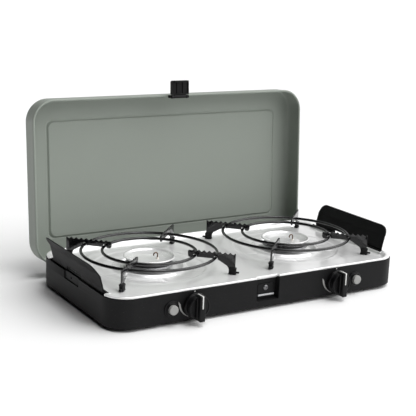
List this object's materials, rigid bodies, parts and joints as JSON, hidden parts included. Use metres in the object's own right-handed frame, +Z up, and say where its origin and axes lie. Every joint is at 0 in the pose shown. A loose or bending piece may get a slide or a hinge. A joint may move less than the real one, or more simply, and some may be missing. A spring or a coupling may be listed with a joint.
{
  "type": "camping stove",
  "caption": "Portable gas camping stove with paired burners, hinged lid, folding windshields, ring pan supports and push-and-turn taps.",
  "frame": {"origin": "middle of the open stove's footprint box, on the surface the feet stand on", "axes": "+X to the stove's right seen from the front, +Y to the back where the lid is hinged, +Z up"},
  "size_m": [0.531, 0.3468, 0.3072],
  "materials": {
    "body_paint": "fine matt black powder coat",
    "lid_paint": "satin sage green powder coat",
    "stainless": "bright pressed stainless steel",
    "burner_aluminium": "cast aluminium, lightly satin",
    "support_enamel": "black enamel, semi-gloss",
    "boot_rubber": "matt black heat-resistant rubber",
    "black_plastic": "fine-textured black plastic",
    "button_plastic": "smooth grey plastic",
    "brass": "machined brass",
    "zinc_steel": "zinc-plated steel",
    "spark_ceramic": "white ceramic insulator with a bare wire tip",
    "lead_rubber": "red silicone lead"
  },
  "bodies": {
    "root": {"body_shell": "body_paint", "base_plate": "body_paint", "cooking_tray": "stainless", "gas_rail": "zinc_steel", "gas_inlet_barb": "brass", "catch_plate": "zinc_steel", "catch_screw": "zinc_steel", "foot_front_left": "boot_rubber", "foot_rear_left": "boot_rubber", "pan_support_left": "support_enamel", "support_boot_left_1": "boot_rubber", "support_boot_left_2": "boot_rubber", "support_boot_left_3": "boot_rubber", "support_boot_left_4": "boot_rubber", "burner_base_left": "burner_aluminium", "burner_dish_left": "stainless", "mixing_tube_left": "burner_aluminium", "ignition_electrode_left": "spark_ceramic", "valve_body_left": "brass", "igniter_bezel_left": "black_plastic", "piezo_unit_left": "black_plastic", "ignition_lead_left": "lead_rubber", "lid_hinge_bracket_left": "zinc_steel", "lid_hinge_pin_left": "zinc_steel", "windshield_rod_left": "zinc_steel", "foot_front_right": "boot_rubber", "foot_rear_right": "boot_rubber", "pan_support_right": "support_enamel", "support_boot_right_1": "boot_rubber", "support_boot_right_2": "boot_rubber", "support_boot_right_3": "boot_rubber", "support_boot_right_4": "boot_rubber", "burner_base_right": "burner_aluminium", "burner_dish_right": "stainless", "mixing_tube_right": "burner_aluminium", "ignition_electrode_right": "spark_ceramic", "valve_body_right": "brass", "igniter_bezel_right": "black_plastic", "piezo_unit_right": "black_plastic", "ignition_lead_right": "lead_rubber", "lid_hinge_bracket_right": "zinc_steel", "lid_hinge_pin_right": "zinc_steel", "windshield_rod_right": "zinc_steel"},
    "lid": {"lid_shell": "lid_paint", "latch_bracket": "black_plastic", "latch_pin": "zinc_steel", "lid_hinge_arm_left": "zinc_steel", "lid_hinge_arm_right": "zinc_steel"},
    "latch": {"latch_lever": "black_plastic"},
    "windshield_left": {"windshield_left": "body_paint"},
    "plug_left": {"tap_plug_left": "brass"},
    "knob_left": {"knob_left": "black_plastic", "valve_stem_left": "zinc_steel"},
    "button_left": {"igniter_button_left": "button_plastic"},
    "windshield_right": {"windshield_right": "body_paint"},
    "plug_right": {"tap_plug_right": "brass"},
    "knob_right": {"knob_right": "black_plastic", "valve_stem_right": "zinc_steel"},
    "button_right": {"igniter_button_right": "button_plastic"}
  },
  "joints": [
    {"name": "lid_hinge", "type": "hinge", "parent": "root", "child": "lid", "pos_m": [0, 0.10299, 0.032], "axis": [1, 0, 0], "range_deg": [0, 93.56]},
    {"name": "latch_pivot", "type": "hinge", "parent": "lid", "child": "latch", "pos_m": [0, 0.12948, 0.28064], "axis": [1, 0, 0], "range_deg": [0, 90]},
    {"name": "windshield_fold_left", "type": "hinge", "parent": "root", "child": "windshield_left", "pos_m": [-0.249, -0.02231, 0.0495], "axis": [0, 1, 0], "range_deg": [0, 52]},
    {"name": "tap_turn_left", "type": "hinge", "parent": "root", "child": "plug_left", "pos_m": [-0.127, -0.14931, 0.0265], "axis": [0, -1, 0], "range_deg": [0, 180]},
    {"name": "knob_push_left", "type": "slide", "parent": "plug_left", "child": "knob_left", "axis": [0, 1, 0], "range_m": [0, 0.003], "stiffness_N_per_m": 900},
    {"name": "igniter_press_left", "type": "slide", "parent": "root", "child": "button_left", "axis": [0, 1, 0], "range_m": [0, 0.005], "stiffness_N_per_m": 900},
    {"name": "windshield_fold_right", "type": "hinge", "parent": "root", "child": "windshield_right", "pos_m": [0.249, -0.02231, 0.0495], "axis": [0, -1, 0], "range_deg": [0, 52]},
    {"name": "tap_turn_right", "type": "hinge", "parent": "root", "child": "plug_right", "pos_m": [0.127, -0.14931, 0.0265], "axis": [0, -1, 0], "range_deg": [0, 180]},
    {"name": "knob_push_right", "type": "slide", "parent": "plug_right", "child": "knob_right", "axis": [0, 1, 0], "range_m": [0, 0.003], "stiffness_N_per_m": 900},
    {"name": "igniter_press_right", "type": "slide", "parent": "root", "child": "button_right", "axis": [0, 1, 0], "range_m": [0, 0.005], "stiffness_N_per_m": 900}
  ],
  "couplings": [
    {"joint": "windshield_fold_left", "follows": "lid_hinge", "ratio": 0.5557},
    {"joint": "windshield_fold_right", "follows": "lid_hinge", "ratio": 0.5557}
  ]
}
